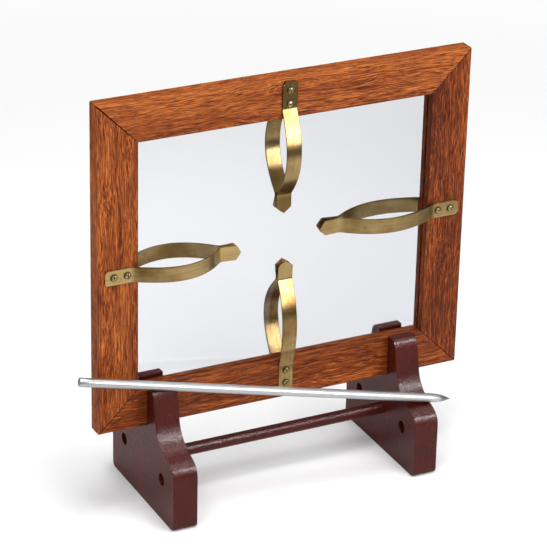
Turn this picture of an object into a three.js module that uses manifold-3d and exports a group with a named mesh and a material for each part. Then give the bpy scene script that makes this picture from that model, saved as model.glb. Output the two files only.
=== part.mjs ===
// A mitred wooden frame holds a glass pane upright in a two-footed cradle stand.
// Four pairs of brass spring clips press on both faces of the pane, and a loose pointed rod
// lies across the stand. Millimetres, +X to the right, +Y to the back, +Z up, bench at Z = 0.
import * as THREE from "three";
import { mergeVertices } from "three/addons/utils/BufferGeometryUtils.js";
import Module from "manifold-3d";

const wasm = await Module();
wasm.setup();

// Driving dimensions.
const gap = 0.3; // clearance between touching pieces
const weldDistance = 1e-3;

const frame = { width: 350, height: 301.6, thickness: 16, railWidth: 37, easedEdge: 0.8, offsetX: 1.8 };
const pane = { thickness: 3, grooveWidth: 3.6, grooveDepth: 7, edgeInGroove: 6 };
const foot = { thickness: 22.7, depth: 131, slotFloor: 75.7, slotWidth: 18, prongTop: 116, easedEdge: 0.8 };
const footCurve = {
  corner: 5.5, // radius at the base
  toeTop: 47, // top of the toe's upright face
  shoulder: [50, 63.5], // where the hollow curve turns into the toe's round
  prongFoot: [27.5, 86], // bottom of the prong's leaning front
  prongShoulder: [23, 107], // top of the prong's leaning front
  prongFlat: 4.5, // width of the prong's flat top
};
const stand = { width: 257.2 };
const footHole = { radius: 5.5, spacing: 80, height: 39 };
const dowel = { radius: 5.5, height: 39, socketDepth: 10 };
const strip = { width: 14, thickness: 0.8, tabLength: 25, tabCorner: 2.5, pointLength: 6.5 };
const screw = {
  fromBend: [4.8, 17],
  shankRadius: 1.3,
  shankDepth: 6,
  pointLength: 1.5,
  headRadius: 2.75,
  headRim: 0.5,
  headHeight: 1.7,
  slotWidth: 0.9,
  slotDepth: 0.8,
};
const rod = { radius: 4, length: 350, buttChamfer: 0.7, pointLength: 19 };

// Where the rod's axis crosses the middle of each foot, as [y, z].
const rodOnLeftFoot = [-22.2, 118.5];
const rodOnRightFoot = [-48.3, 70.4];
const rodOverhang = 76; // butt end to the middle of the left foot, along X

// A side's along is the frame length on that side, and its turn carries the top rail to it.
// clipOffset slides the clip along the rail, bendInset is from the rail's inner edge to the bend,
// reach is from the bend to the clip's point, and the bows are heights above the rail's face.
const sides = [
  { name: "top", rail: "top_rail", along: "width", turn: 0,
    clipOffset: 0, bendInset: 8.4, reach: 98.5, frontBow: 11.8, backBow: 15.5 },
  { name: "right", rail: "right_stile", along: "height", turn: Math.PI / 2,
    clipOffset: -3.2, bendInset: 5.8, reach: 109, frontBow: 13.2, backBow: 10.5 },
  { name: "bottom", rail: "bottom_rail", along: "width", turn: Math.PI,
    clipOffset: -2.8, bendInset: 5.5, reach: 100, frontBow: 6.5, backBow: 16.5 },
  { name: "left", rail: "left_stile", along: "height", turn: -Math.PI / 2,
    clipOffset: -4.3, bendInset: 5.6, reach: 103, frontBow: 15, backBow: 16 },
];
const contactShare = 0.82; // share of a leaf's reach at which it touches the pane
const padFlare = 0.12; // rise of the pad away from the pane, per millimetre

const finishes = {
  mahogany: { color: 0xa5552d, roughness: 0.45, metalness: 0 },
  glass: { color: 0xebebf0, roughness: 0.02, metalness: 0, transparent: true, opacity: 0.35 },
  brass: { color: 0x9a8048, roughness: 0.35, metalness: 1 },
  maroonPaint: { color: 0x50261f, roughness: 0.35, metalness: 0 },
  aluminium: { color: 0xc9ccd0, roughness: 0.3, metalness: 1 },
};

function piece(name, geometry, finish, parent) {
  const mesh = new THREE.Mesh(geometry, new THREE.MeshStandardMaterial(finishes[finish]));
  mesh.name = name;
  parent.add(mesh);
  return mesh;
}

// Booleans: a geometry becomes a solid by its positions alone, with shared vertices merged.
function toSolid(geometry) {
  const bare = geometry.clone();
  bare.deleteAttribute("normal");
  bare.deleteAttribute("uv");
  const merged = mergeVertices(bare, weldDistance);
  const vertProperties = merged.attributes.position.array;
  const triVerts = new Uint32Array(merged.index.array);
  return new wasm.Manifold(new wasm.Mesh({ numProp: 3, vertProperties, triVerts }));
}

function toGeometry(solid) {
  const mesh = solid.getMesh();
  const geometry = new THREE.BufferGeometry();
  geometry.setAttribute("position", new THREE.BufferAttribute(mesh.vertProperties, mesh.numProp));
  geometry.setIndex(new THREE.BufferAttribute(mesh.triVerts, 1));
  geometry.computeVertexNormals();
  return geometry;
}

function cut(geometry, tools) {
  return toGeometry(tools.reduce((body, tool) => body.subtract(toSolid(tool)), toSolid(geometry)));
}

function shapeOf(points) {
  return new THREE.Shape(points.map(([x, y]) => new THREE.Vector2(x, y)));
}

// A flat plate: the shape's X stays X, its Y becomes Z, and it is thickness deep towards -Y.
function plate(shape, thickness, curveSegments) {
  const geometry = new THREE.ExtrudeGeometry(shape, { depth: thickness, bevelEnabled: false, curveSegments });
  return geometry.rotateX(Math.PI / 2);
}

function turned(points, segments) {
  return new THREE.LatheGeometry(points.map(([r, y]) => new THREE.Vector2(r, y)), segments);
}

// A rail lies along X with its outer edge at Z = 0 and its inner edge, with the pane's groove,
// towards -Z. Each end vertex is pulled in by its distance from the outer edge, which makes the mitre.
function railGeometry(side) {
  const width = frame.railWidth;
  const half = frame.thickness / 2;
  const eased = frame.easedEdge;
  const groove = pane.grooveWidth / 2;
  const floor = width - pane.grooveDepth;
  const section = shapeOf([
    [eased, -half], [width - eased, -half], [width, -half + eased],
    [width, -groove], [floor, -groove], [floor, groove], [width, groove],
    [width, half - eased], [width - eased, half], [eased, half], [0, half - eased], [0, -half + eased],
  ]);
  const geometry = new THREE.ExtrudeGeometry(section, { depth: 1, bevelEnabled: false });
  const position = geometry.attributes.position;
  const halfLength = frame[side.along] / 2 - gap / Math.SQRT2;
  for (let i = 0; i < position.count; i++) {
    const inward = position.getX(i);
    const end = Math.sign(position.getZ(i) - 0.5);
    position.setXYZ(i, end * (halfLength - inward), position.getY(i), -inward);
  }
  return cut(geometry, screwPilots(side));
}

function screwPilots(side) {
  const depth = screw.shankDepth + 1;
  const radius = screw.shankRadius + gap;
  const bend = side.bendInset - frame.railWidth;
  return screw.fromBend.flatMap((distance) =>
    [-1, 1].map((face) => {
      const pilot = new THREE.CylinderGeometry(radius, radius, 2 * depth, 12);
      return pilot.translate(side.clipOffset, face * frame.thickness / 2, bend + distance);
    }),
  );
}

// Clip pieces share one frame: the bend line at the origin, the tab towards +Z over the rail,
// the leaf towards -Z over the pane, and heights above the rail's face towards -Y.
function tabGeometry() {
  const half = strip.width / 2;
  const corner = strip.tabCorner;
  const end = strip.tabLength;
  const outline = shapeOf([
    [-half, 0], [half, 0], [half, end - corner], [half - corner, end], [corner - half, end], [-half, end - corner],
  ]);
  for (const distance of screw.fromBend) {
    const hole = new THREE.Path();
    hole.absarc(0, distance, screw.shankRadius + gap, 0, 2 * Math.PI, true);
    outline.holes.push(hole);
  }
  return plate(outline, strip.thickness, 6).translate(0, -gap, 0);
}

// The leaf's middle line as [distance from the bend, height]: one cubic curve from the bend over the
// bow to the pane, then a straight pad that rises slightly away from the pane.
function leafLine(reach, bow) {
  const contact = contactShare * reach;
  const start = gap + strip.thickness / 2;
  const onPane = pane.thickness / 2 - frame.thickness / 2 + start;
  const curve = new THREE.CubicBezierCurve(
    new THREE.Vector2(gap + strip.thickness / 3, start),
    new THREE.Vector2(0.3 * contact, 1.05 * bow),
    new THREE.Vector2(0.62 * contact, 1.72 * bow),
    new THREE.Vector2(contact, onPane),
  );
  const pad = new THREE.Vector2(reach, onPane + padFlare * (reach - contact));
  return [...curve.getPoints(16), pad];
}

// The line thickened by half the strip to each side, along the mean normal at each point.
function thickened(line, thickness) {
  const offset = (sign) =>
    line.map((point, i) => {
      const before = line[Math.max(i - 1, 0)];
      const after = line[Math.min(i + 1, line.length - 1)];
      const along = after.clone().sub(before).normalize();
      return new THREE.Vector2(-along.y, along.x).multiplyScalar((sign * thickness) / 2).add(point);
    });
  return new THREE.Shape([...offset(-1), ...offset(1).reverse()]);
}

function leafGeometry(reach, bow) {
  const half = strip.width / 2;
  const profile = thickened(leafLine(reach, bow), strip.thickness);
  const bent = new THREE.ExtrudeGeometry(profile, { depth: strip.width, bevelEnabled: false });
  const toClip = new THREE.Matrix4().makeBasis(
    new THREE.Vector3(0, 0, -1),
    new THREE.Vector3(0, -1, 0),
    new THREE.Vector3(-1, 0, 0),
  );
  bent.applyMatrix4(toClip).translate(half, 0, 0);
  const shoulder = strip.pointLength - reach;
  const outline = shapeOf([[-half, half], [-half, shoulder], [0, -reach], [half, shoulder], [half, half]]);
  const envelope = plate(outline, frame.width, 1).translate(0, frame.width / 2, 0);
  return toGeometry(toSolid(bent).intersect(toSolid(envelope)));
}

// A round-headed slotted wood screw about Y, its head towards -Y.
function screwGeometry() {
  const seat = -(strip.thickness + 2 * gap);
  const body = turned([
    [0, seat - screw.headHeight],
    [0.7 * screw.headRadius, seat - 0.75 * screw.headHeight],
    [screw.headRadius, seat - screw.headRim],
    [screw.headRadius, seat],
    [screw.shankRadius, seat],
    [screw.shankRadius, screw.shankDepth - screw.pointLength],
    [0, screw.shankDepth],
  ], 12);
  const slot = new THREE.BoxGeometry(2 * frame.railWidth, 2 * screw.slotDepth, screw.slotWidth);
  slot.translate(0, seat - screw.headHeight, 0);
  return cut(body, [slot]);
}

function addClip(side, face, parent) {
  const front = face === "front";
  const turn = new THREE.Group();
  turn.rotation.z = front ? 0 : Math.PI;
  parent.add(turn);
  const clip = new THREE.Group();
  const offset = front ? side.clipOffset : -side.clipOffset;
  clip.position.set(offset, -frame.thickness / 2, side.bendInset - frame.railWidth);
  turn.add(clip);
  const name = `${side.name}_${face}`;
  piece(`${name}_tab`, tabGeometry(), "brass", clip);
  piece(`${name}_leaf`, leafGeometry(side.reach, front ? side.frontBow : side.backBow), "brass", clip);
  ["inner", "outer"].forEach((place, i) => {
    const fixing = piece(`${name}_${place}_screw`, screwGeometry(), "brass", clip);
    fixing.position.z = screw.fromBend[i];
  });
}

// Half of a foot's outline from the base up to the slot's floor, then the same mirrored: base corner,
// toe, hollow curve, leaning front, rounded prong, slot wall.
function footOutline() {
  const { corner, toeTop, shoulder, prongFoot, prongShoulder, prongFlat } = footCurve;
  const toe = foot.depth / 2;
  const wall = foot.slotWidth / 2;
  const half = new THREE.Path();
  half.moveTo(toe - corner, 0);
  half.quadraticCurveTo(toe, 0, toe, corner);
  half.lineTo(toe, toeTop);
  half.bezierCurveTo(toe, toeTop + 10, shoulder[0] + 10, shoulder[1] - 3, ...shoulder);
  half.bezierCurveTo(shoulder[0] - 11, shoulder[1] + 3, prongFoot[0] + 2, prongFoot[1] - 11, ...prongFoot);
  half.lineTo(...prongShoulder);
  half.quadraticCurveTo(prongShoulder[0] - 1.5, foot.prongTop, wall + prongFlat, foot.prongTop);
  half.lineTo(wall, foot.prongTop);
  half.lineTo(wall, foot.slotFloor);
  const front = half.getPoints(7);
  const back = front.map((point) => new THREE.Vector2(-point.x, point.y)).reverse();
  return new THREE.Shape([...front, ...back]);
}

// A foot stands with its outer face at X = 0 and its inner face, with the dowel's socket, towards +X.
function footGeometry() {
  const outline = footOutline();
  for (const side of [-1, 1]) {
    const hole = new THREE.Path();
    hole.absarc((side * footHole.spacing) / 2, footHole.height, footHole.radius, 0, 2 * Math.PI, true);
    outline.holes.push(hole);
  }
  const eased = foot.easedEdge;
  const geometry = new THREE.ExtrudeGeometry(outline, {
    depth: foot.thickness - 2 * eased,
    curveSegments: 8,
    bevelSegments: 1,
    bevelThickness: eased,
    bevelSize: eased,
    bevelOffset: -eased,
  });
  geometry.translate(0, 0, eased);
  const upright = new THREE.Matrix4().makeBasis(
    new THREE.Vector3(0, 1, 0),
    new THREE.Vector3(0, 0, 1),
    new THREE.Vector3(1, 0, 0),
  );
  geometry.applyMatrix4(upright);
  const socket = new THREE.CylinderGeometry(dowel.radius + gap, dowel.radius + gap, 2 * dowel.socketDepth, 24);
  socket.rotateZ(Math.PI / 2).translate(foot.thickness, 0, dowel.height);
  return cut(geometry, [socket]);
}

function addStand(parent) {
  const left = piece("left_foot", footGeometry(), "maroonPaint", parent);
  left.position.x = -stand.width / 2;
  const right = piece("right_foot", footGeometry(), "maroonPaint", parent);
  right.position.x = stand.width / 2;
  right.rotation.z = Math.PI;
  const length = stand.width - 2 * (foot.thickness - dowel.socketDepth + gap);
  const bar = new THREE.CylinderGeometry(dowel.radius, dowel.radius, length, 24);
  piece("cross_dowel", bar.rotateZ(Math.PI / 2), "maroonPaint", parent).position.z = dowel.height;
}

function addFramedPane(parent) {
  const group = new THREE.Group();
  group.position.set(frame.offsetX, 0, foot.slotFloor + gap + frame.height / 2);
  parent.add(group);
  const inset = 2 * (frame.railWidth - pane.edgeInGroove);
  const glass = new THREE.BoxGeometry(frame.width - inset, pane.thickness, frame.height - inset);
  piece("glass_pane", glass, "glass", group);
  for (const side of sides) {
    const across = side.along === "width" ? frame.height : frame.width;
    const turn = new THREE.Group();
    turn.rotation.y = side.turn;
    group.add(turn);
    const edge = new THREE.Group();
    edge.position.z = across / 2;
    turn.add(edge);
    piece(side.rail, railGeometry(side), "mahogany", edge);
    addClip(side, "front", edge);
    addClip(side, "back", edge);
  }
}

// The rod is turned about Y from its chamfered butt to its point, whose radius falls off as
// one minus the square of the way along it.
function addRod(parent) {
  const { radius, length, buttChamfer, pointLength } = rod;
  const steps = [0, 0.25, 0.5, 0.7, 0.85, 1];
  const point = steps.map((way) => [radius * (1 - way * way), length - pointLength * (1 - way)]);
  const profile = [[0, 0], [radius - buttChamfer, 0], [radius, buttChamfer], ...point];
  const mesh = piece("rod", turned(profile, 20), "aluminium", parent);
  const footMiddle = (stand.width - foot.thickness) / 2;
  const onLeft = new THREE.Vector3(-footMiddle, ...rodOnLeftFoot);
  const onRight = new THREE.Vector3(footMiddle, ...rodOnRightFoot);
  const direction = onRight.sub(onLeft).normalize();
  mesh.quaternion.setFromUnitVectors(new THREE.Vector3(0, 1, 0), direction);
  mesh.position.copy(onLeft).addScaledVector(direction, -rodOverhang / direction.x);
}

const pressStand = new THREE.Group();
addStand(pressStand);
addFramedPane(pressStand);
addRod(pressStand);

// The origin is the middle of the whole object's box, on the bench.
const box = new THREE.Box3().setFromObject(pressStand, true);
pressStand.position.x = -(box.min.x + box.max.x) / 2;

export default pressStand;
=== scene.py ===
import math

import bpy
import numpy as np
from mathutils import Matrix, Vector


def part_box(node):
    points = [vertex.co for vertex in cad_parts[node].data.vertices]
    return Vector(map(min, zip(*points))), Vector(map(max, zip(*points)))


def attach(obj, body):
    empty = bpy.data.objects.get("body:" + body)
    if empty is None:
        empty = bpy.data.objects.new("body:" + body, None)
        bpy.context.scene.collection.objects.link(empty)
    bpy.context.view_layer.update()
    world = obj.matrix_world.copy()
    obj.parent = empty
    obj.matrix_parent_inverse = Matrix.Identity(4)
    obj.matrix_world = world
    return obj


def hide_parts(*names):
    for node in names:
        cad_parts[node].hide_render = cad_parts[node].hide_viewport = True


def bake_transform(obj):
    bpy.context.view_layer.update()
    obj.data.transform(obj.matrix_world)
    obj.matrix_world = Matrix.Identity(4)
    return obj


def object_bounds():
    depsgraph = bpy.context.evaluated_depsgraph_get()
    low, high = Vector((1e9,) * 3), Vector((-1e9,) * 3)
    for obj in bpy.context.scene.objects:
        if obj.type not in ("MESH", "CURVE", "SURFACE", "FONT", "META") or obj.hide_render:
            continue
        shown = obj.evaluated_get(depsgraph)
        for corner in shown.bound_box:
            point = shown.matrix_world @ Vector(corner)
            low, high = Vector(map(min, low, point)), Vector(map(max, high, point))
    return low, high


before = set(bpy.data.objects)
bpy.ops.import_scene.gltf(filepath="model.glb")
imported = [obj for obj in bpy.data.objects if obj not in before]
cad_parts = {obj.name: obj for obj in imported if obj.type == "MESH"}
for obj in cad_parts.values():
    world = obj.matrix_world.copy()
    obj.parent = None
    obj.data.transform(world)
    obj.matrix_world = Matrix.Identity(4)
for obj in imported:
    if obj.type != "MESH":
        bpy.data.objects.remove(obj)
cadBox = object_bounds()
scene = bpy.context.scene
# shapes are given in millimetres, and looks, lamps and the camera in metres
mm = 0.001
wholeTurn = 2 * math.pi


# A wire is one output in a shader graph, and operators on wires add Math nodes.
class Wire:
    def __init__(self, graph, socket):
        self.graph = graph
        self.socket = socket

    def maths(self, operation, *values):
        return self.graph.node("ShaderNodeMath", {"operation": operation}, dict(enumerate(values)))

    def __add__(self, other):
        return self.maths("ADD", self, other)

    def __radd__(self, other):
        return self.maths("ADD", other, self)

    def __sub__(self, other):
        return self.maths("SUBTRACT", self, other)

    def __rsub__(self, other):
        return self.maths("SUBTRACT", other, self)

    def __mul__(self, other):
        return self.maths("MULTIPLY", self, other)

    def __rmul__(self, other):
        return self.maths("MULTIPLY", other, self)

    def __abs__(self):
        return self.maths("ABSOLUTE", self)

    def between(self, low, high):
        # 0 below low, 1 above high, smooth in between
        settings = {"interpolation_type": "SMOOTHSTEP"}
        return self.graph.node("ShaderNodeMapRange", settings, {0: self, 1: low, 2: high})


# A graph holds the nodes of one material or of the world.
class Graph:
    def __init__(self, owner):
        # the owner is a new material or a new world
        self.owner = owner
        owner.use_nodes = True
        self.tree = owner.node_tree
        self.tree.nodes.clear()
        self.place = self.node("ShaderNodeTexCoord", output="Object")

    def node(self, kind, settings=None, inputs=None, output=0):
        made = self.tree.nodes.new(kind)
        for name, value in (settings or {}).items():
            if name == "stops":
                self.setStops(made.color_ramp, value)
            else:
                setattr(made, name, value)
        for name, value in (inputs or {}).items():
            if isinstance(value, Wire):
                self.tree.links.new(value.socket, made.inputs[name])
            else:
                made.inputs[name].default_value = value
        return Wire(self, made.outputs[output]) if len(made.outputs) else None

    def setStops(self, ramp, stops):
        while len(ramp.elements) < len(stops):
            ramp.elements.new(1.0)
        for element, (place, colour) in zip(ramp.elements, stops):
            element.position = place
            element.color = rgba(colour)

    def mapped(self, vector, scale=(1, 1, 1), turn=(0, 0, 0), shift=(0, 0, 0)):
        # the vector scaled, then turned, then moved
        inputs = {"Vector": vector, "Location": shift, "Rotation": turn, "Scale": scale}
        return self.node("ShaderNodeMapping", {}, inputs)

    def noise(self, vector, scale, detail=3.0, roughness=0.55):
        # the scale is the number of cells of noise in a metre, along each axis
        cells = self.mapped(vector, scale)
        inputs = {"Vector": cells, "Scale": 1.0, "Detail": detail, "Roughness": roughness}
        return self.node("ShaderNodeTexNoise", {}, inputs)

    def stamped(self, name):
        # the numbers that stamp() gave the vertices
        return self.node("ShaderNodeAttribute", {"attribute_name": name}, output="Fac")

    def part(self, vector, axis):
        # one of a vector's three numbers
        return self.node("ShaderNodeSeparateXYZ", {}, {0: vector}, output=axis)

    def ramp(self, share, stops):
        # a colour from a list of (place, colour), by a share from 0 to 1
        return self.node("ShaderNodeValToRGB", {"stops": stops}, {"Fac": share})

    def mixed(self, share, first, second):
        # a blend of two colours: the first where share is 0, the second where it is 1
        inputs = {0: share, 6: rgba(first), 7: rgba(second)}
        return self.node("ShaderNodeMix", {"data_type": "RGBA"}, inputs, output=2)

    def layered(self, colour, *layers):
        # each layer is its share and the colour that it lays over those before it
        for share, over in layers:
            colour = self.mixed(share, colour, over)
        return colour

    def bump(self, height, strength, distance):
        # a normal leaning with the slope of the height, which is worth the distance in metres
        return self.node("ShaderNodeBump", {}, {"Strength": strength, "Distance": distance, "Height": height})

    def principled(self, inputs):
        return self.node("ShaderNodeBsdfPrincipled", {}, inputs)

    def finished(self, shader, kind="ShaderNodeOutputMaterial"):
        self.node(kind, {}, {"Surface": shader})
        return self.owner


def newLook(name):
    return Graph(bpy.data.materials.new(name))


def rgba(colour):
    return colour if isinstance(colour, Wire) else (*colour, 1)


def screen(red, green, blue):
    # a colour on the 0 to 255 screen scale as the shader's linear values, by the usual screen curve
    share = np.array([red, green, blue]) / 255
    linear = np.where(share < 0.04045, share / 12.92, ((share + 0.055) / 1.055) ** 2.4)
    return tuple(float(value) for value in linear)


# Camera and light

cameraFit = {
    "aim": (0.0215, 0.0358, 0.1692),
    "azimuth": -26.77,
    "elevation": 25.33,
    "roll": 1.36,
    "distance": 2.4363,
    "lens": 178.1,
    "sensor": 36,
    "clip": (0.05, 50),
}


def towards(azimuth, elevation):
    # the way out from the object at an azimuth from its front and an elevation, both in degrees
    azimuth, elevation = math.radians(azimuth), math.radians(elevation)
    flat = math.cos(elevation)
    return Vector((math.sin(azimuth) * flat, -math.cos(azimuth) * flat, math.sin(elevation)))


def addCamera():
    # the camera stands back from its aim, and leans from upright by its roll
    azimuth, roll = math.radians(cameraFit["azimuth"]), math.radians(cameraFit["roll"])
    back = towards(cameraFit["azimuth"], cameraFit["elevation"])
    level = Vector((math.cos(azimuth), math.sin(azimuth), 0))
    right = level * math.cos(roll) + back.cross(level) * math.sin(roll)
    camera = bpy.data.objects.new("camera", bpy.data.cameras.new("camera"))
    camera.data.lens = cameraFit["lens"]
    camera.data.sensor_width = cameraFit["sensor"]
    camera.data.clip_start, camera.data.clip_end = cameraFit["clip"]
    turn = Matrix((right, back.cross(right), back)).transposed().to_4x4()
    camera.matrix_world = Matrix.Translation(Vector(cameraFit["aim"]) + back * cameraFit["distance"]) @ turn
    scene.collection.objects.link(camera)
    scene.camera = camera
    print("camera made")


studio = {
    # the floor is lit round the object, then fades into the white of the room
    "floorSize": 8.0,
    "floorColours": ((0.93, 0.93, 0.93), (0.95, 0.95, 0.95)),
    "fade": (0.75, 1.7),
    # glossy surfaces see a darker floor, which ends sooner
    "glossFloor": (0.60, 0.06),
    "glossFade": (0.5, 0.85),
    # the room's brightness to the eye, to matt surfaces and, low down and overhead, to glossy ones,
    # and the heights of direction between which the last changes
    "roomSeen": 1.0,
    "roomOnMatt": 0.56,
    "roomInGloss": (0.07, 0.42),
    "roomRise": (0.15, 0.95),
    # azimuth, elevation, distance, width, height and watts of each soft box, seen from the object's middle
    "boxes": {
        "keyBox": (26, 18, 1.08, 0.52, 0.6, 4.6),
        "highBox": (-48, 52, 2.2, 0.8, 0.8, 11),
        "topBox": (20, 82, 2.3, 0.8, 0.8, 25),
        "sideBox": (-100, 22, 2.4, 0.9, 0.9, 5),
        "stripBox": (32, 40, 1.5, 0.9, 0.16, 34),
    },
}


def addStudio():
    # each soft box stands at its distance from the object's middle, and faces it
    middle = (cadBox[0] + cadBox[1]) / 2
    for name, (azimuth, elevation, distance, width, height, watts) in studio["boxes"].items():
        back = towards(azimuth, elevation)
        lamp = bpy.data.lights.new(name, "AREA")
        lamp.shape = "RECTANGLE"
        lamp.size, lamp.size_y = width, height
        lamp.energy = watts
        light = bpy.data.objects.new(name, lamp)
        light.location = middle + back * distance
        light.rotation_euler = (-back).to_track_quat("-Z", "Y").to_euler()
        light.visible_camera = False
        scene.collection.objects.link(light)
    addRoom()
    addFloor()
    scene.view_settings.view_transform = "Standard"
    print("studio made")


def inGloss(graph):
    # 1 for light that has left a mirror-like surface, 0 for light seen directly or through glass
    return graph.node("ShaderNodeLightPath", output="Glossy Depth").between(0, 1)


def addRoom():
    # one white background, whose strength depends on the kind of surface that sees it
    graph = Graph(bpy.data.worlds.new("room"))
    direction = graph.node("ShaderNodeTexCoord", output="Generated")
    low, high = studio["roomInGloss"]
    glossy = low + graph.part(direction, "Z").between(*studio["roomRise"]) * (high - low)
    matt = graph.node("ShaderNodeLightPath", output="Diffuse Depth").between(0, 1)
    seen = studio["roomSeen"] + matt * (studio["roomOnMatt"] - studio["roomSeen"])
    strength = seen + inGloss(graph) * (glossy - seen)
    light = graph.node("ShaderNodeBackground", {}, {"Color": (1, 1, 1, 1), "Strength": strength})
    scene.world = graph.finished(light, "ShaderNodeOutputWorld")


def addFloor():
    # a square that turns clear with the distance from the object, and is darker in reflections
    half = studio["floorSize"] / 2
    corners = [(-half, -half, 0), (half, -half, 0), (half, half, 0), (-half, half, 0)]
    graph = newLook("paleFloor")
    grain = graph.noise(graph.place, (9, 9, 9))
    colour = graph.mixed(grain, *studio["floorColours"])
    pale = graph.node("ShaderNodeBsdfDiffuse", {}, {"Color": colour})
    away = graph.node("ShaderNodeVectorMath", {"operation": "LENGTH"}, {0: graph.place}, output="Value")
    near, far = studio["glossFloor"]
    dim = graph.mixed(away.between(*studio["glossFade"]), (near,) * 3, (far,) * 3)
    shade = graph.node("ShaderNodeBsdfDiffuse", {}, {"Color": dim})
    floorLook = graph.node("ShaderNodeMixShader", {}, {0: inGloss(graph), 1: pale, 2: shade})
    clear = graph.node("ShaderNodeBsdfTransparent")
    gone = away.between(*studio["fade"])
    shader = graph.node("ShaderNodeMixShader", {}, {0: gone, 1: floorLook, 2: clear})
    floor = meshPiece("floor", corners, [(0, 1, 2, 3)], graph.finished(shader), smooth=False)


# Meshes from arrays

def meshPiece(name, points, faces, material, smooth=True):
    # one object at the origin, with its place in its mesh
    mesh = bpy.data.meshes.new(name)
    places = np.asarray(points, float).reshape(-1, 3).tolist()
    mesh.from_pydata(places, [], [tuple(map(int, face)) for face in faces])
    mesh.validate()
    mesh.polygons.foreach_set("use_smooth", np.full(len(mesh.polygons), smooth))
    mesh.materials.append(material)
    piece = bpy.data.objects.new(name, mesh)
    scene.collection.objects.link(piece)
    return piece


def gridFaces(rows, columns, cap=None):
    # quads between neighbouring rows of a tube whose columns close on themselves, and a cap at each end
    row, column = np.meshgrid(np.arange(rows - 1), np.arange(columns), indexing="ij")
    after = (column + 1) % columns
    this, following = row * columns, (row + 1) * columns
    corners = [this + column, this + after, following + after, following + column]
    quads = np.stack(corners, axis=-1).reshape(-1, 4).tolist()
    cap = cap or [list(range(columns))]
    first = [face[::-1] for face in cap]
    last = [[(rows - 1) * columns + i for i in face] for face in cap]
    return quads + first + last


def tubePiece(name, rings, material, sharpAngle=None, cap=None):
    # rings is an array of closed loops, one for each station along the piece; edges whose faces
    # meet at more than sharpAngle degrees stay sharp
    rows, columns = rings.shape[:2]
    piece = meshPiece(name, rings, gridFaces(rows, columns, cap), material)
    outward(piece)
    if sharpAngle:
        piece.data.set_sharp_from_angle(angle=math.radians(sharpAngle))
    return piece


def vertexPoints(piece):
    # the places of all the vertices, one row each
    points = np.zeros(len(piece.data.vertices) * 3)
    piece.data.vertices.foreach_get("co", points)
    return points.reshape(-1, 3)


def outward(piece):
    # a closed mesh has its faces turned round when its signed volume, the sum of a . (b x c) over
    # its triangles, is negative
    mesh = piece.data
    mesh.calc_loop_triangles()
    corners = np.zeros(len(mesh.loop_triangles) * 3, np.int32)
    mesh.loop_triangles.foreach_get("vertices", corners)
    a, b, c = vertexPoints(piece)[corners.reshape(-1, 3)].transpose(1, 0, 2)
    if np.einsum("ij,ij->i", a, np.cross(b, c)).sum() < 0:
        mesh.flip_normals()


def turnedRings(profile, origin, axis, sides):
    # a profile of (radius, distance along the axis) swept round the axis: each point is the origin,
    # plus the axis by its distance, plus a spoke by its radius
    axis = np.array(axis) / np.linalg.norm(axis)
    across = np.cross(axis, (0.0, 0.0, 1.0) if abs(axis[2]) < 0.9 else (1.0, 0.0, 0.0))
    across /= np.linalg.norm(across)
    angle = np.arange(sides) * wholeTurn / sides
    spokes = np.outer(np.cos(angle), across) + np.outer(np.sin(angle), np.cross(axis, across))
    radius, along = np.array(profile, float).T
    return np.array(origin) + along[:, None, None] * axis + radius[:, None, None] * spokes


def curveThrough(*corners, steps=18):
    # a Bezier curve of any degree: each corner weighted by its Bernstein polynomial
    t = np.linspace(0, 1, steps + 1)[:, None]
    n = len(corners) - 1
    shares = [math.comb(n, i) * t ** i * (1 - t) ** (n - i) for i in range(n + 1)]
    return sum(share * np.array(corner, float) for share, corner in zip(shares, corners))


def carved(piece, cutters, bevel):
    # cuts the cutters out of the piece, rounds its edges, and applies it all to the mesh
    for cutter in cutters:
        cut = piece.modifiers.new("cut", "BOOLEAN")
        cut.operation = "DIFFERENCE"
        cut.solver = "EXACT"
        cut.object = cutter
    rounding = piece.modifiers.new("round", "BEVEL")
    rounding.width = bevel
    rounding.segments = 3
    rounding.limit_method = "ANGLE"
    rounding.angle_limit = math.radians(38)
    piece.modifiers.new("even", "WEIGHTED_NORMAL").weight = 100
    graph = bpy.context.evaluated_depsgraph_get()
    made = bpy.data.meshes.new_from_object(
        piece.evaluated_get(graph), preserve_all_data_layers=True, depsgraph=graph)
    piece.modifiers.clear()
    piece.data = made
    for cutter in cutters:
        bpy.data.objects.remove(cutter)


def stamp(piece, name, values):
    # one number for each vertex, read in a material by an Attribute node
    layer = piece.data.attributes.new(name, "FLOAT", "POINT")
    layer.data.foreach_set("value", np.asarray(values, np.float32).ravel())


def lowHigh(node):
    # the two far corners of a node's box, in metres
    low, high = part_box(node)
    return np.array(low), np.array(high)


def faceAt(node, axis, sign):
    # where a node's box ends along an axis: at its high end for a positive sign, else at its low end
    return lowHigh(node)[int(sign > 0)][axis]


# Wood: a reddish mahogany with long streaks, broad bands, short dark pores and a dark glue line

woodLook = {
    "dark": screen(84, 32, 10),
    "red": screen(130, 58, 17),
    "orange": screen(162, 76, 25),
    "light": screen(204, 118, 50),
    "pore": screen(52, 16, 5),
    "glue": screen(22, 8, 4),
    "wearAndSheen": screen(140, 84, 58),
    "glueDark": screen(20, 8, 4),
    "gluePale": screen(38, 18, 10),
    # where each colour stands on the scale of tone
    "stops": {"dark": 0.42, "red": 0.475, "orange": 0.52, "light": 0.59},
}


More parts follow.
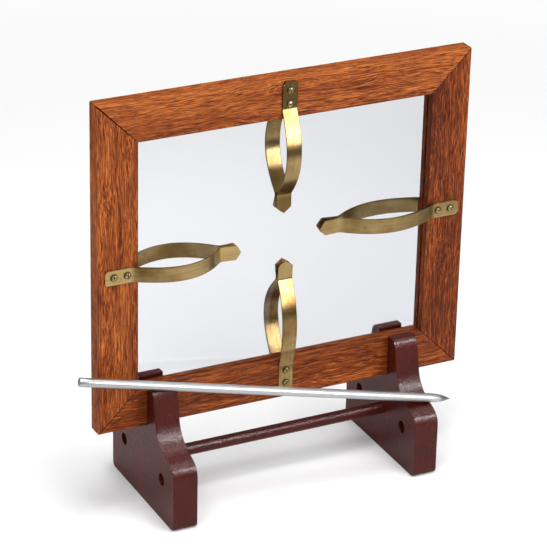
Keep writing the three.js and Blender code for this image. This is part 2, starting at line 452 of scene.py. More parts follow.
def woodMaterial(name, facts):
    # noise drawn out along the grain: each length is cut from another place in the same timber, the
    # stiles with their grain upright, and the lean makes the grain wander
    graph = newLook(name)
    turn = (0, math.pi / 2, 0) if facts["along"] == 2 else (0, 0, 0)
    grain = graph.mapped(graph.place, (1, 1, 1), turn, facts["shift"])
    sway = graph.noise(grain, (9, 30, 30), 2.0)
    lean = graph.node("ShaderNodeCombineXYZ", {}, {"Y": (sway - 0.5) * 0.012, "Z": (sway - 0.5) * 0.018})
    grain = graph.node("ShaderNodeVectorMath", {"operation": "ADD"}, {0: grain, 1: lean})
    run = facts["run"]
    band = graph.noise(grain, (5, 60, 70), 2.0)
    streak = graph.noise(grain, (20 / run, 1000, 1000), 4.0, 0.68)
    fleck = graph.noise(grain, (70 / run, 1800, 1800), 3.0, 0.65)
    contour = graph.noise(grain, (17 / run, 460, 460), 2.0, 0.5)
    line = 1 - abs(contour - 0.5).between(0.0, 0.04)
    pore = graph.noise(grain, (100 / run, 1900, 1900), 1.0).between(0.56, 0.64)
    # the rail's tone is partly painted light and shade: the top rail lighter, the right stile and the bottom
    # rail darker
    toneAndShade = band * 0.14 + streak * 0.38 + fleck * 0.48 + facts["toneAndShade"]
    stops = [(place, woodLook[colour]) for colour, place in woodLook["stops"].items()]
    colour = graph.layered(
        graph.ramp(toneAndShade, stops),
        (line * 0.5, woodLook["dark"]),
        (pore * 0.6, woodLook["pore"]),
        # pale wear on the outer arrises, with a painted sheen
        (graph.stamped("worn") * 0.3, woodLook["wearAndSheen"]),
        # painted shade along the inner arrises, in the dark pore colour
        (graph.stamped("arris") * 0.7, woodLook["pore"]),
        (graph.stamped("seam").between(0.3, 0.9), woodLook["glue"]),
    )
    relief = streak * 0.5 + fleck * 0.4 - pore * 0.8 - line * 0.3
    return graph.finished(graph.principled({
        "Base Color": colour,
        "Roughness": 0.36 + fleck * 0.25 + pore * 0.2,
        "Specular IOR Level": 0.18,
        "Normal": graph.bump(relief, 0.6, 0.0004),
    }))


railShape = {
    "outerRound": 1.1,
    "innerRound": 0.6,
    "grooveDepth": 7.0,
    "grooveWidth": 3.6,
    "width": 37.0,
    "lap": 0.01,
    "eased": 0.12,
    "openDepth": 3.0,
    # distances in from a sawn end, stations between them, and how far glue, pale wear with its painted sheen,
    # and the painted shade of the inner arrises reach
    "endSteps": (0, 0.35, 0.7, 1.6),
    "stations": 26,
    "glueReach": 0.7,
    "wornAndSheenReach": (1.5, 1.2),
    "arrisShadeReach": (1.2, 0.5),
}

# Each rail runs along its own axis, with its outer edge outwards. The gaps are how far the mitre
# stands open at the outer corner, at the low and the high end of the rail. Shift, tone and run are
# where the length comes from in the timber, how light it is, and how long its streaks are. The tone
# is partly the timber's own and partly painted light and shade: lighter on the top rail, darker on
# the right stile and the bottom rail.
rails = {
    "top_rail": {
        "along": 0, "outward": 1, "gaps": (0.7, 0.05),
        "shift": (0.31, 0.02, 0.11), "toneAndShade": 0.026, "run": 1.2,
    },
    "bottom_rail": {
        "along": 0, "outward": -1, "gaps": (0.12, 0.12),
        "shift": (1.7, 0.4, 0.62), "toneAndShade": -0.020, "run": 1.2,
    },
    "left_stile": {
        "along": 2, "outward": -1, "gaps": (0.12, 0.35),
        "shift": (2.9, 0.9, 1.43), "toneAndShade": 0.004, "run": 0.95,
    },
    "right_stile": {
        "along": 2, "outward": 1, "gaps": (0.12, 0.05),
        "shift": (4.2, 1.3, 2.21), "toneAndShade": -0.042, "run": 0.95,
    },
}


def railSide(edge, radius, floor, half):
    # one side of the section from face to face, as (distance in from this side, depth): a quarter
    # circle at each corner, holding points beside it, and the wall of the groove if there is one
    hold = 1.6 * radius
    slot = railShape["grooveWidth"] / 2
    turn = np.linspace(0, 0.25, 5) * wholeTurn
    corner = np.stack([radius * (1 - np.sin(turn)), radius * (1 - np.cos(turn)) - half], axis=-1)
    lip = slot if floor else 0.9 * slot
    wall = [(0, hold - half), (0, railShape["openDepth"] - half), (0, -slot), (floor, -lip)]
    near = np.concatenate([[(hold, -half)], corner, wall])
    both = np.concatenate([near, near[::-1] * (1, -1)])
    return both if edge == "outer" else np.array((railShape["width"], 0)) + both * (-1, 1)


def railRings(name, facts):
    # the section is a loop of (distance in from the outer edge, depth); each point of it is carried
    # along the rail between two mitres, its end drawn in by its distance from the outer edge
    low, high = lowHigh(name)
    half = (high[1] - low[1]) / 2 / mm
    outerSide = railSide("outer", railShape["outerRound"], 0, half)
    innerSide = railSide("inner", railShape["innerRound"], railShape["grooveDepth"], half)
    inward, depth = np.concatenate([outerSide, innerSide[::-1]]).T
    along, side = facts["along"], 2 - facts["along"]
    boxes = np.array([lowHigh(rail) for rail in rails])
    frameLow, frameHigh = boxes[:, 0].min(axis=0), boxes[:, 1].max(axis=0)
    middle = (frameLow + frameHigh) / 2
    halfLength = (frameHigh[along] - frameLow[along]) / 2 / mm
    nearFace = np.clip((np.abs(depth) - half) / railShape["openDepth"] + 1, 0, 1)
    width = railShape["width"]
    ends = []
    for sign, gap in zip((-1, 1), facts["gaps"]):
        opened = (railShape["eased"] + gap * (1 - inward / width)) * nearFace - railShape["lap"]
        ends.append(sign * np.minimum(halfLength - inward - opened, halfLength))
    margin = np.array(railShape["endSteps"])[:, None]
    start, end = ends[0] + margin, ends[1] - margin[::-1]
    share = np.linspace(0, 1, railShape["stations"])[1:-1, None]
    inside = share * (end[0] - start[-1]) + start[-1]
    reach = np.concatenate([start, inside, end])
    rings = np.zeros((*reach.shape, 3))
    rings[..., along] = middle[along] + reach * mm
    rings[..., 1] = middle[1] + depth * mm
    edge = high[side] if facts["outward"] > 0 else low[side]
    rings[..., side] = edge - facts["outward"] * inward * mm
    toEnd = np.minimum(reach - ends[0], ends[1] - reach)
    seam = 1 - np.clip(toEnd / railShape["glueReach"], 0, 1)
    # the outer arrises are worn pale, with a painted sheen, and a painted shade lies along the inner ones,
    # beside the pane
    sunk = half - np.abs(depth)
    wornAndSheenWidth, wornAndSheenDepth = railShape["wornAndSheenReach"]
    worn = np.clip(1 - inward / wornAndSheenWidth, 0, 1) * np.clip(1 - sunk / wornAndSheenDepth, 0, 1)
    arrisShadeWidth, arrisShadeDepth = railShape["arrisShadeReach"]
    arris = np.clip(1 - (width - inward) / arrisShadeWidth, 0, 1) * (1 - np.clip(sunk - arrisShadeDepth, 0, 1))
    # each end is closed by quads across the section, so that the mitre keeps its stepped depth
    count = len(outerSide)
    cap = [[i, i + 1, 2 * count - 2 - i, 2 * count - 1 - i] for i in range(count - 1)]
    stamps = {"seam": seam, "worn": worn, "arris": arris}
    return rings, cap, {key: np.broadcast_to(values, seam.shape) for key, values in stamps.items()}


def glueMaterial():
    # matt and nearly black, for the sawn ends inside the mitres
    graph = newLook("glueLine")
    speck = graph.noise(graph.place, (700, 700, 700))
    colour = graph.mixed(speck, woodLook["glueDark"], woodLook["gluePale"])
    return graph.finished(graph.principled({
        "Base Color": colour, "Roughness": 0.9 + speck * 0.1, "Specular IOR Level": 0.0,
    }))


def addRails():
    # the last faces of each mesh are its two caps, which take the glue
    glue = glueMaterial()
    for name, facts in rails.items():
        rings, cap, stamps = railRings(name, facts)
        material = woodMaterial(f"mahogany_{name}", facts)
        piece = tubePiece(f"{name}_wood", rings, material, 32, cap)
        piece.data.materials.append(glue)
        sawn = np.zeros(len(piece.data.polygons), np.int32)
        sawn[-2 * len(cap):] = 1
        piece.data.polygons.foreach_set("material_index", sawn)
        for key, values in stamps.items():
            stamp(piece, key, values)
        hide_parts(name)
        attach(piece, "frame")
    print("rails made")


# Glass: clear, and lamps shine through it

glassLook = {
    # the two ends of a painted reflection's gradient, laid over the pane's tint
    "topLeft": (0.89, 0.895, 0.92),
    "bottomRight": (0.735, 0.75, 0.785),
    "toLamps": (0.93, 0.945, 0.96),
    # a painted reflection darkens the tint with (slant times x) minus z, between these two values, in metres
    "slant": 0.7,
    "reflectionRun": (-0.42, -0.02),
}


def glassMaterial():
    # a painted reflection greys the pane slowly from its top left to its bottom right over its tint, and the
    # pane is faintly uneven
    graph = newLook("clearGlass")
    smear = graph.noise(graph.place, (11, 11, 26), 4.0)
    across, up = graph.part(graph.place, "X"), graph.part(graph.place, "Z")
    # the share of the painted reflection's darker end
    shade = (across * glassLook["slant"] - up).between(*glassLook["reflectionRun"])
    clear = graph.principled({
        "Base Color": graph.mixed(shade, glassLook["topLeft"], glassLook["bottomRight"]),
        "Roughness": 0.0,
        "IOR": 1.5,
        "Transmission Weight": 1.0,
        "Normal": graph.bump(smear, 0.03, 0.001),
    })
    straight = graph.node("ShaderNodeBsdfTransparent", {}, {"Color": rgba(glassLook["toLamps"])})
    shadow = graph.node("ShaderNodeLightPath", output="Is Shadow Ray")
    return graph.finished(graph.node("ShaderNodeMixShader", {}, {0: shadow, 1: clear, 2: straight}))


def addGlass():
    # the pane is flat, so it keeps the mesh that it has
    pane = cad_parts["glass_pane"]
    pane.data.materials.clear()
    pane.data.materials.append(glassMaterial())
    print("pane made")


# Brass: drawn lines along the strip, brown tarnish in soft patches

brassLook = {
    "bright": screen(206, 177, 122),
    "tarnish": screen(153, 119, 68),
    "polished": screen(234, 202, 137),
    "streak": screen(158, 112, 56),
    "drawnLine": screen(90, 68, 34),
    "spot": screen(70, 50, 28),
    "rim": screen(74, 50, 24),
    "grime": screen(58, 40, 20),
    # the two long edges turn brown between these distances from the middle line, in metres
    "rimRun": (0.0062, 0.0071),
}


def brassMaterial():
    # fine lines and streaks follow the strip's own map; tarnish and spots lie over them in space
    graph = newLook("agedBrass")
    strip = graph.node("ShaderNodeUVMap", {"uv_map": "strip"})
    drawn = graph.noise(strip, (14, 2600, 1), 3.0)
    hair = graph.noise(strip, (60, 9000, 1), 2.0)
    streak = graph.noise(strip, (22, 420, 1), 3.0)
    soft = graph.noise(graph.place, (34, 34, 34), 4.0)
    spots = graph.noise(graph.place, (260, 260, 260), 3.0).between(0.64, 0.74)
    polish = graph.stamped("polish")
    stain = graph.stamped("stain")
    rim = abs(graph.part(strip, "Y")).between(*brassLook["rimRun"])
    colour = graph.layered(
        graph.mixed(soft.between(0.34, 0.66), brassLook["bright"], brassLook["tarnish"]),
        (polish * 0.85, brassLook["polished"]),
        (streak.between(0.45, 0.75) * 0.4, brassLook["streak"]),
        (drawn.between(0.4, 0.7) * 0.2, brassLook["drawnLine"]),
        (spots * 0.35, brassLook["spot"]),
        (rim * 0.6, brassLook["rim"]),
        # grime and a painted shadow round each screw head
        (stain * 0.75, brassLook["grime"]),
    )
    return graph.finished(graph.principled({
        "Base Color": colour,
        "Metallic": 1.0,
        "Roughness": 0.12 + stain * 0.2 + soft * 0.10 + streak * 0.08 + spots * 0.1,
        "Normal": graph.bump(drawn * 0.5 + hair * 0.5, 0.3, 0.00006),
    }))


stripShape = {
    "thickness": 0.8,
    "edgeRound": 0.16,
    "contactShare": 0.82,
    "bendRadius": 1.6,
    "bendShare": 0.45,
    "pointCurve": 1.2,
    # how far the strip stays off the rail and off the pane
    "offRail": 0.25,
    "offPane": 0.15,
    # the leaf's curve: where it starts, and the pull of its two handles, as shares of the way to the
    # pane and of the bow's height
    "curveStart": 0.55,
    "rise": (0.3, 1.05),
    "fall": (0.62, 1.72),
    "bowTrials": (2, 24, 23),
    "step": 0.5,
    # the clean tab ends and the clean pad starts, with a fade at each
    "tabClean": (23, 28),
    "padClean": (25, 20),
    # grime and painted shadow round a screw: its radius, and the width of its fade
    "stainAndShadowRadius": 4.0,
    "stainAndShadowFade": 1.0,
}

# Inwards is the way a leaf runs from its rail, and cuts are the tab's two corner cuts. Point is the
# length of the arrow, and short is how much the leaf falls short. The flare is of the front pad and
# the back pad, off the pane. Slots are the angles of the inner and outer screw. Polish is how clean
# the tab and the pad are.
clipSides = {
    "top": {
        "rail": "top_rail", "inwards": (0, 0, -1), "cuts": (4.0, 1.4), "point": 5.8, "short": 0.3,
        "flare": (0.02, 0.3), "slots": (15, 100), "polish": (0.35, 0.1),
    },
    "bottom": {
        "rail": "bottom_rail", "inwards": (0, 0, 1), "cuts": (2.2, 2.2), "point": 5.0, "short": 2.2,
        "flare": (0.08, 0.2), "slots": (120, 40), "polish": (0.35, 0.3),
    },
    "left": {
        "rail": "left_stile", "inwards": (1, 0, 0), "cuts": (2.0, 2.4), "point": 4.6, "short": 0.2,
        "flare": (0.12, 0.05), "slots": (84, 98), "polish": (1.0, 1.0),
    },
    "right": {
        "rail": "right_stile", "inwards": (-1, 0, 0), "cuts": (2.4, 1.8), "point": 5.0, "short": 0.2,
        "flare": (0.10, 0.16), "slots": (132, 125), "polish": (0.8, 0.45),
    },
}


def leafCurve(contact, start, onPane, bow):
    # a cubic Bezier curve from the bend, over the bow, to the pane
    rise, fall = (np.array(stripShape[handle]) * (contact, bow) for handle in ("rise", "fall"))
    return curveThrough((stripShape["curveStart"], start), rise, fall, (contact, onPane), steps=120)


def lengthAlong(line):
    # the distance to each point of a line from its start, along it
    return np.concatenate([[0], np.cumsum(np.linalg.norm(np.diff(line, axis=0), axis=1))])


def evened(line, step):
    # the same line with points at equal steps along it
    length = lengthAlong(line)
    at = np.linspace(0, length[-1], int(length[-1] / step) + 1)
    return np.stack([np.interp(at, length, line[:, i]) for i in range(2)], axis=-1)


def softened(line, radius, step):
    # bends eased by a moving average of gaussian weight; the ends are carried straight on first
    count = int(3 * radius / step)
    lead = np.arange(count, 0, -1)[:, None]
    before = line[0] + (line[0] - line[1]) * lead
    after = line[-1] + (line[-1] - line[-2]) * lead[::-1]
    padded = np.concatenate([before, line, after])
    weight = np.exp(-0.5 * (np.arange(-count, count + 1) * step / radius) ** 2)
    weight /= weight.sum()
    return np.stack([np.convolve(padded[:, i], weight, "valid") for i in range(2)], axis=-1)


def clipLine(tabLength, reach, peak, railFace, paneFace, flare):
    # the middle line of a whole clip as (distance from the bend, height over the rail): the flat tab,
    # the leaf, whose bow is the one of several trials that reaches the peak, and the flared pad
    thickness = stripShape["thickness"]
    contact = stripShape["contactShare"] * reach
    start = railFace + thickness / 2
    onPane = paneFace + thickness / 2
    trials = np.linspace(*stripShape["bowTrials"])
    peaks = [leafCurve(contact, start, onPane, bow)[:, 1].max() for bow in trials]
    bow = np.interp(peak - thickness / 2, peaks, trials)
    tab = np.array([(-tabLength, start), (0, start)])
    pad = np.array([(reach, onPane + flare * (reach - contact))])
    line = np.concatenate([tab, leafCurve(contact, start, onPane, bow), pad])
    return softened(evened(line, stripShape["step"]), stripShape["bendRadius"], stripShape["step"])


def stripRings(line, halfWidth, facts):
    # a flat section with rounded edges, (across, height), narrowed at the tab's corners and at the
    # point, and carried along the line square to its slope; the loop goes over the top and back below
    top, edge = stripShape["thickness"] / 2, stripShape["edgeRound"]
    length = lengthAlong(line)
    toPoint = np.clip((length[-1] - length) / facts["point"], 0, 1)
    tapered = halfWidth * (1 - (1 - toPoint) ** stripShape["pointCurve"])
    sides = []
    for cut in facts["cuts"]:
        corner = np.clip(cut - length, 0, None)
        sides.append(np.maximum(np.minimum(tapered, halfWidth - corner), edge)[:, None])
    left, right = sides
    angle = np.linspace(0, 0.25, 4) * wholeTurn
    rim, out = top - edge + np.sin(angle) * edge, (1 - np.cos(angle)) * edge
    flat = np.linspace(1, -1, 17)[1:-1]
    # the underside takes its two widths the other way round, which shows where the cuts differ
    over = flat * np.where(flat > 0, right - edge, left - edge)
    under = flat * np.where(flat < 0, right - edge, left - edge)
    halves = [np.concatenate([right - out, face, (out - left)[:, ::-1]], axis=1) for face in (over, under)]
    across = np.concatenate([halves[0], halves[1][:, ::-1]], axis=1)
    upper = np.concatenate([rim, np.full(len(flat), top), rim[::-1]])
    height = np.concatenate([upper, -upper[::-1]])
    slope = np.gradient(line, axis=0)
    slope /= np.linalg.norm(slope, axis=1)[:, None]
    run = line[:, :1] - slope[:, 1:] * height
    rise = line[:, 1:] + slope[:, :1] * height
    return across, run, rise, length


def addClips():
    # each strip is laid out from its own tab, leaf and rail
    brass = brassMaterial()
    for sideName, facts in clipSides.items():
        inwards = np.array(facts["inwards"], float)
        axis = int(np.argmax(np.abs(inwards)))
        crossAxis, sign = 2 - axis, inwards[axis]
        for face, outSign in (("front", -1), ("back", 1)):
            name = f"{sideName}_{face}"
            tabLow, tabHigh = lowHigh(f"{name}_tab")
            bend = faceAt(f"{name}_tab", axis, sign)
            point = faceAt(f"{name}_leaf", axis, sign)
            peakY = faceAt(f"{name}_leaf", 1, outSign)
            railY = faceAt(facts["rail"], 1, outSign)
            paneY = faceAt("glass_pane", 1, outSign)
            tabLength = (tabHigh[axis] - tabLow[axis]) / mm
            reach = abs(point - bend) / mm - facts["short"]
            paneFace = outSign * (paneY - railY) / mm + stripShape["offPane"]
            flare = facts["flare"][(outSign + 1) // 2]
            peak = abs(peakY - railY) / mm
            line = clipLine(tabLength, reach, peak, stripShape["offRail"], paneFace, flare)
            halfWidth = (tabHigh[crossAxis] - tabLow[crossAxis]) / 2 / mm
            across, run, rise, length = stripRings(line, halfWidth, facts)
            rings = np.zeros((*across.shape, 3))
            rings[..., axis] = bend + sign * run * mm
            rings[..., crossAxis] = (tabLow[crossAxis] + tabHigh[crossAxis]) / 2 + across * mm
            rings[..., 1] = railY + outSign * rise * mm
            piece = tubePiece(f"{name}_strip", rings, brass, 40)
            paintStrip(piece, across, length, facts["polish"])
            stainAndShadowRound(piece, [f"{name}_{place}_screw" for place in ("inner", "outer")])
            start = np.zeros(3)
            start[axis] = bend
            end = start.copy()
            end[axis] = bend + stripShape["bendShare"] * (point - bend)
            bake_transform(piece)
            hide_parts(f"{name}_tab", f"{name}_leaf")
    print("clips made")


def paintStrip(piece, across, length, polish):
    # a flat map in metres, along the strip and across it, and how clean the tab and the pad are,
    # with a straight fade to nothing on the leaf between them
    mesh = piece.data
    along = np.broadcast_to(length[:, None], across.shape)
    flat = np.stack([along.ravel(), across.ravel()], axis=-1) * mm
    corners = np.zeros(len(mesh.loops), np.int32)
    mesh.loops.foreach_get("vertex_index", corners)
    layer = mesh.uv_layers.new(name="strip")
    layer.data.foreach_set("uv", flat[corners].astype(np.float32).ravel())
    padFrom, padFull = (length[-1] - reach for reach in stripShape["padClean"])
    places = [*stripShape["tabClean"], padFrom, padFull]
    stamp(piece, "polish", np.interp(along, places, [polish[0], 0, 0, polish[1]]))


def stainAndShadowRound(piece, screws):
    # dark grime and painted shadow in a disc under and round each screw head, fading out at its rim
    points = vertexPoints(piece)
    grime = np.zeros(len(points))
    for name in screws:
        low, high = lowHigh(name)
        away = np.linalg.norm((points - (low + high) / 2)[:, [0, 2]], axis=1) / mm
        inside = (stripShape["stainAndShadowRadius"] - away) / stripShape["stainAndShadowFade"]
        grime = np.maximum(grime, np.clip(inside, 0, 1))
    stamp(piece, "stain", grime)


# Screws: round slotted heads, each slot at its own angle

screwShape = {
    "headRadius": 2.75,
    "rim": 0.45,
    "dome": 0.75,
    # the underside, from the neck in its hole to the rim, as (radius, height)
    "under": ((0.9, -1.2), (1.2, -0.6), (2.6, -0.6), (2.75, -0.4)),
    "crown": 0.05,
    "inset": 0.15,
    "sides": 40,
    "slotWidth": 0.85,
    "slotDepth": 0.85,
    "slotReach": 8,
    "edgeRound": 0.08,
    # how deep in the slot, and how near the rim, the grime and painted shade are full
    "grimeAndShadeDepth": 0.35,
    "rimGrimeAndShadow": (0.86, 0.1, 0.7),
}


def addScrews():
    # a head is its profile turned round the screw's axis: the underside, a short rim, and a dome that
    # is part of an ellipse
    brass = screwMaterial()
    shape = screwShape
    height = shape["rim"] + shape["dome"]
    turn = np.linspace(0, 0.25, 9)[:-1] * wholeTurn
    domeHeight = shape["rim"] + shape["dome"] * np.sin(turn)
    dome = np.stack([shape["headRadius"] * np.cos(turn), domeHeight], axis=-1)
    profile = np.concatenate([shape["under"], dome, [(shape["crown"], height)]]) * mm
    for sideName, facts in clipSides.items():
        for face, out in (("front", -1.0), ("back", 1.0)):
            for place, angle in zip(("inner", "outer"), facts["slots"]):
                name = f"{sideName}_{face}_{place}_screw"
                low, high = lowHigh(name)
                top = (low[1] if out < 0 else high[1]) - out * shape["inset"] * mm
                centre = np.array([(low[0] + high[0]) / 2, top - out * height * mm, (low[2] + high[2]) / 2])
                rings = turnedRings(profile, centre, (0, out, 0), shape["sides"])
                head = tubePiece(f"{name}_head", rings, brass)
                cutter = slotCutter(centre, out, math.radians(angle))
                carved(head, [cutter], bevel=shape["edgeRound"] * mm)
                # grime and painted shade in the slot, and a painted shadow round the rim
                stamp(head, "grime", headGrimeAndShade(head, centre, out))
                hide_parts(name)
                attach(head, "frame")
    print("screws made")


def headGrimeAndShade(head, centre, out):
    # grime and painted shade lie in the slot, well under the dome that it is cut in, and grime and a painted
    # shadow round the rim
    away = (vertexPoints(head) - centre) / mm
    radius = np.hypot(away[:, 0], away[:, 2])
    share = np.clip(radius / screwShape["headRadius"], 0, 1)
    dome = screwShape["rim"] + screwShape["dome"] * np.sqrt(1 - share ** 2)
    sunk = np.clip((dome - away[:, 1] * out) / screwShape["grimeAndShadeDepth"], 0, 1)
    start, fade, most = screwShape["rimGrimeAndShadow"]
    return np.maximum(sunk, np.clip((share - start) / fade, 0, 1) * most)


def slotCutter(centre, out, angle):
    # a bar across the head, turned by the slot's angle, from the slot's floor to above the dome
    length, width = screwShape["slotReach"] * mm, screwShape["slotWidth"] * mm
    height = screwShape["rim"] + screwShape["dome"]
    bottom, top = (height - screwShape["slotDepth"]) * mm, (height + 1) * mm
    u = np.array([math.cos(angle), 0, math.sin(angle)])
    v = np.array([-math.sin(angle), 0, math.cos(angle)])
    n = np.array([0, out, 0])
    flat = [(-length, -width / 2), (length, -width / 2), (length, width / 2), (-length, width / 2)]
    points = [centre + u * a + v * b + n * h for h in (bottom, top) for a, b in flat]
    cutter = meshPiece("slotCutter", points, gridFaces(2, 4), None, smooth=False)
    outward(cutter)
    return cutter


screwLook = {"bright": screen(222, 200, 150), "dull": screen(150, 122, 76), "grime": screen(34, 24, 14)}


def screwMaterial():
    # bright and dull brass in soft patches, with matt grime and painted shade over them
    graph = newLook("screwBrass")
    soft = graph.noise(graph.place, (420, 420, 420), 3.0)
    grime = graph.stamped("grime")
    colour = graph.mixed(soft.between(0.35, 0.7), screwLook["bright"], screwLook["dull"])
    colour = graph.mixed(grime * 0.9, colour, screwLook["grime"])
    return graph.finished(graph.principled({
        "Base Color": colour,
        "Metallic": 1.0,
        "Roughness": 0.22 + soft * 0.15 + grime * 0.4,
        "Normal": graph.bump(soft, 0.15, 0.0001),
    }))


# Feet and dowel: sawn wood under gloss maroon enamel

enamelLook = {
    "light": screen(75, 19, 12),
    "dark": screen(61, 16, 11),
    "brushed": screen(90, 32, 23),
    "speck": screen(112, 66, 58),
}


def enamelMaterial(name, shift):
    # paint over sawn grain that runs up and down: brushed ridges, orange peel and pale specks
    graph = newLook(name)
    place = graph.mapped(graph.place, shift=shift)
    cloud = graph.noise(place, (24, 24, 24), 3.0)
    brushed = graph.noise(place, (700, 170, 170), 3.0, 0.6)
    peel = graph.noise(place, (480, 480, 480), 3.0)
    speck = graph.noise(place, (900, 900, 900), 2.0).between(0.63, 0.74)
    # the broad sides are smooth, and the sawn edges all round them keep their rough grain
    facing = graph.node("ShaderNodeNewGeometry", output="True Normal")
    sideways = abs(graph.part(facing, "X")).between(0.8, 0.95)
    colour = graph.layered(
        graph.mixed(cloud.between(0.3, 0.7), enamelLook["light"], enamelLook["dark"]),
        (brushed.between(0.45, 0.7) * 0.25, enamelLook["brushed"]),
        (speck * 0.25, enamelLook["speck"]),
    )
    relief = brushed * (0.85 - sideways * 0.75) + peel * 0.4
    return graph.finished(graph.principled({
        "Base Color": colour,
        "Roughness": 0.13 + cloud * 0.07 + speck * 0.2,
        "Specular IOR Level": 0.34,
        "Normal": graph.bump(relief, 0.7, 0.0013),
    }))


footShape = {
    "corner": 5.5,
    "toeTop": 47,
    "shoulder": (50, 63.5),
    "prongFoot": (27.5, 86),
    "prongShoulder": (23, 107),
    "prongFlat": 4.5,
    "slotWidth": 18,
    "slotFloor": 75.7,
    "holeRadius": 5.5,
    "holeSpacing": 80,
    "holeHeight": 39,
    "holeReach": 60,
    "holeSides": 48,
    "edgeRound": 1.1,
    # handles of the outline's curves: upwards from the toe, from the shoulder over the toe and up the
    # slope, from the prong's foot down into the hollow, and inwards from the prong's shoulder
    "toeHandle": 10,
    "overToe": (10, -3),
    "upSlope": (-11, 3),
    "downHollow": (2, -11),
    "tipHandle": 1.5,
    # the dowel's socket: its gap past the dowel's end, and its looseness
    "socketGap": 0.3,
    "socketFit": 0.05,
}


def footLoop(depth, height):
    # half of the outline, as curves from the base over the toe, the shoulder, the hollow and the
    # prong to the slot's floor, then its mirror image
    shape = footShape
    toe, wall = depth / 2, shape["slotWidth"] / 2
    corner, toeTop, tip = shape["corner"], shape["toeTop"], wall + shape["prongFlat"]
    names = ("shoulder", "prongFoot", "prongShoulder", "overToe", "upSlope", "downHollow")
    shoulder, hollow, prong, overToe, upSlope, downHollow = (np.array(shape[k], float) for k in names)
    half = np.concatenate([
        curveThrough((toe - corner, 0), (toe, 0), (toe, corner), steps=6),
        curveThrough((toe, toeTop), (toe, toeTop + shape["toeHandle"]), shoulder + overToe, shoulder),
        curveThrough(shoulder, shoulder + upSlope, hollow + downHollow, hollow)[1:],
        curveThrough(prong, (prong[0] - shape["tipHandle"], height), (tip, height), steps=10),
        np.array([(wall, height), (wall, shape["slotFloor"])]),
    ])
    return np.concatenate([half, half[::-1] * (-1, 1)])


def cylinderCutter(centre, radius, length):
    # a round bar along x, with half its length to each side of its centre
    sides = footShape["holeSides"]
    rings = turnedRings([(radius, -length / 2), (radius, length / 2)], centre, (1, 0, 0), sides)
    cutter = meshPiece("cylinderCutter", rings, gridFaces(2, sides), None)
    outward(cutter)
    return cutter


def addFeet():
    # each foot is its outline carried straight across, with its holes and the dowel's socket cut out
    shape = footShape
    dowelLow, dowelHigh = lowHigh("cross_dowel")
    dowelMiddle = (dowelLow + dowelHigh) / 2
    socketRadius = (dowelHigh[2] - dowelLow[2]) / 2 + shape["socketFit"] * mm
    for name, inwards, shift in (("left_foot", 1, (0.2, 0.1, 0.7)), ("right_foot", -1, (1.6, 0.9, 0.3))):
        low, high = lowHigh(name)
        loop = footLoop((high[1] - low[1]) / mm, (high[2] - low[2]) / mm) * mm
        rings = np.zeros((2, len(loop), 3))
        rings[0, :, 0], rings[1, :, 0] = low[0], high[0]
        rings[..., 1] = (low[1] + high[1]) / 2 + loop[:, 0]
        rings[..., 2] = low[2] + loop[:, 1]
        foot = tubePiece(f"{name}_enamelled", rings, enamelMaterial(f"maroonEnamel_{name}", shift))
        cutters = []
        for sign in (-1, 1):
            centre = ((low[0] + high[0]) / 2, sign * shape["holeSpacing"] / 2 * mm, shape["holeHeight"] * mm)
            cutters.append(cylinderCutter(centre, shape["holeRadius"] * mm, shape["holeReach"] * mm))
        inner, dowelEnd = (high[0], dowelLow[0]) if inwards > 0 else (low[0], dowelHigh[0])
        reach = 2 * abs(inner - (dowelEnd - inwards * shape["socketGap"] * mm))
        centre = (inner, dowelMiddle[1], dowelMiddle[2])
        cutters.append(cylinderCutter(centre, socketRadius, reach))
        carved(foot, cutters, bevel=shape["edgeRound"] * mm)
        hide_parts(name)
        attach(foot, "stand")
    print("feet made")


dowelShape = {"chamfer": 0.4, "stations": 30, "sides": 64}


def addDowel():
    # a straight bar with a small chamfer at each end, turned round its axis
    low, high = lowHigh("cross_dowel")
    centre = (low + high) / 2
    radius, length = (high[2] - low[2]) / 2, high[0] - low[0]
    chamfer = dowelShape["chamfer"] * mm
    inside = [(radius, along) for along in np.linspace(0, length, dowelShape["stations"])[1:-1]]
    profile = [(radius - chamfer, 0), (radius, chamfer), *inside,
               (radius, length - chamfer), (radius - chamfer, length)]
    rings = turnedRings(profile, (low[0], centre[1], centre[2]), (1, 0, 0), dowelShape["sides"])
    dowel = tubePiece("cross_dowel_enamelled", rings, enamelMaterial("maroonEnamel_dowel", (2.3, 0.2, 0.5)))
    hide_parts("cross_dowel")
    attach(dowel, "stand")
    print("dowel made")


def glintOnEnamel():
    # the strip box shines on the painted stand alone, and only in its gloss
    painted = bpy.data.collections.new("painted")
    for name in ("left_foot_enamelled", "right_foot_enamelled", "cross_dowel_enamelled"):
        painted.objects.link(bpy.data.objects[name])
    strip = bpy.data.objects["stripBox"]
    strip.visible_diffuse = False
    strip.light_linking.receiver_collection = painted
    print("glints made")


# Rod: drawn aluminium, with a pointed end and a chamfered butt with a ring cut into it

rodLook = {
    "bright": (0.86, 0.87, 0.875),
    "dull": (0.76, 0.775, 0.78),
    "nick": (0.42, 0.43, 0.45),
    "ground": (0.30, 0.32, 0.33),
}


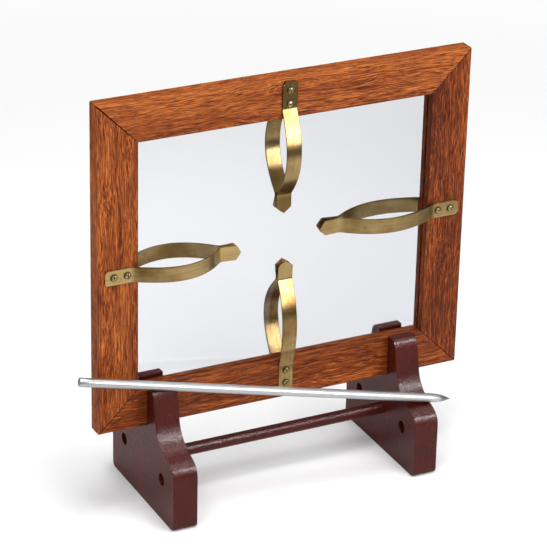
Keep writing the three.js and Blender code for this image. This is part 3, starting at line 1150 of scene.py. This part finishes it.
def rodMaterial():
    # fine drawn lines along the rod, soft patches, small nicks, and a darker point
    graph = newLook("drawnAluminium")
    fine = graph.noise(graph.place, (40, 2600, 2600), 2.0)
    soft = graph.noise(graph.place, (30, 60, 60), 3.0)
    nick = graph.noise(graph.place, (300, 900, 900), 3.0).between(0.66, 0.76)
    ground = graph.stamped("ground")
    colour = graph.layered(
        graph.mixed(soft, rodLook["bright"], rodLook["dull"]),
        (nick * 0.4, rodLook["nick"]),
        (ground * 0.75, rodLook["ground"]),
    )
    return graph.finished(graph.principled({
        "Base Color": colour,
        "Metallic": 1.0,
        "Roughness": 0.30 + soft * 0.12 + nick * 0.15,
        "Normal": graph.bump(fine, 0.2, 0.00005),
    }))


rodShape = {
    "pointLength": 19,
    "darkTipLength": 11,
    "darkTipFade": 1.2,
    "chamfer": 1.1,
    "ringOuter": 2.5,
    "ringInner": 0.9,
    "ringDepth": 4.0,
    "stations": 40,
    "pointSteps": 24,
    "sides": 64,
}


def addRod():
    # the axis is the long direction of the rod's vertices; the profile is the butt with its ring, the
    # straight body, and a point whose radius falls with the square of the way along it
    shape = rodShape
    points = vertexPoints(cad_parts["rod"])
    axis = np.linalg.svd(points - points.mean(axis=0), full_matrices=False)[2][0]
    axis *= np.sign(axis[0])
    along = points @ axis
    tip = points[along.argmax()]
    length = along.max() - along.min()
    away = points - tip
    radius = np.linalg.norm(away - np.outer(away @ axis, axis), axis=1).max() / mm
    total = length / mm
    pointStart, chamfer = total - shape["pointLength"], shape["chamfer"]
    outer, inner, floor = shape["ringOuter"], shape["ringInner"], shape["ringDepth"]
    butt = [
        (0.02, 0.3), (inner, 0.35), (inner + 0.2, floor), (outer - 0.2, floor),
        (outer, 0.15), (outer + 0.15, 0),
        (radius - chamfer, 0), (radius - 0.3 * chamfer, 0.3 * chamfer),
    ]
    body = [(radius, place) for place in np.linspace(chamfer, pointStart, shape["stations"])[:-1]]
    shares = np.linspace(0, 1, shape["pointSteps"])[:-1]
    point = [(radius * (1 - share ** 2), total - shape["pointLength"] * (1 - share)) for share in shares]
    profile = np.array([*butt, *body, *point, (0.03, total - 0.05)]) * mm
    rings = turnedRings(profile, tip - axis * length, axis, shape["sides"])
    rod = tubePiece("rod_aluminium", rings, rodMaterial(), 40)
    # the last stretch of the point is darker
    toTip = np.repeat(total - profile[:, 1] / mm, shape["sides"])
    stamp(rod, "ground", np.clip((shape["darkTipLength"] - toTip) / shape["darkTipFade"], 0, 1))
    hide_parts("rod")
    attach(rod, "rod")
    print("rod made")


addCamera()
addStudio()
addRails()
addGlass()
addClips()
addScrews()
addFeet()
addDowel()
addRod()
glintOnEnamel()
